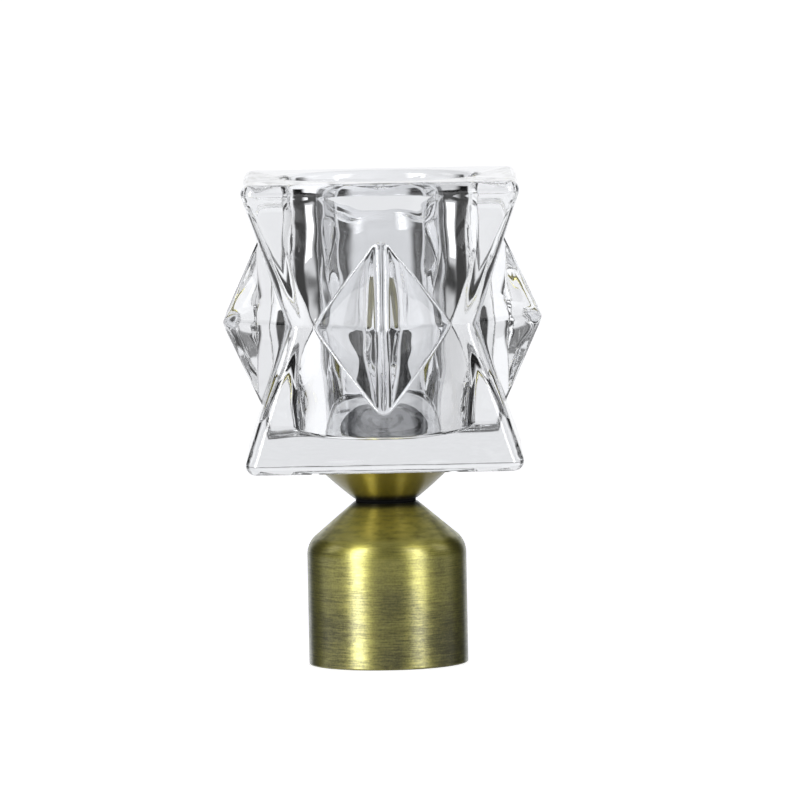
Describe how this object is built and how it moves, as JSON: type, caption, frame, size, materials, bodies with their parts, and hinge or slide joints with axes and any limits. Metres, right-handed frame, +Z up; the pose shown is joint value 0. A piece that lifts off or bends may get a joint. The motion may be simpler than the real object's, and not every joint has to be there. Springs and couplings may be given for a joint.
{
  "type": "curtain pole finial",
  "caption": "Curtain pole finial: square pressed-glass block, drawn in at the waist, with raised diamonds and a round well, on a brass bowl seat and bell collar that slips over the pole end.",
  "frame": {"origin": "centre of the collar's mouth, in the plane of its rim", "axes": "+Z up along the pole's axis towards the glass; the head's faces look along X and Y; the grub screw is on the +Y side, away from the picture's view"},
  "size_m": [0.0644, 0.0644, 0.0982],
  "materials": {
    "clear_glass": "fire-polished pressed glass",
    "antique_brass": "brushed round, antiqued and lacquered",
    "black_washer": "matt",
    "zinc_steel": "zinc plated",
    "black_steel": "black oxide"
  },
  "bodies": {
    "root": {"glass_head": "clear_glass", "head_seat": "antique_brass", "neck_washer": "black_washer", "pole_collar": "antique_brass", "spring_washer": "zinc_steel", "joining_screw": "zinc_steel", "grub_screw": "black_steel"}
  },
  "joints": []
}
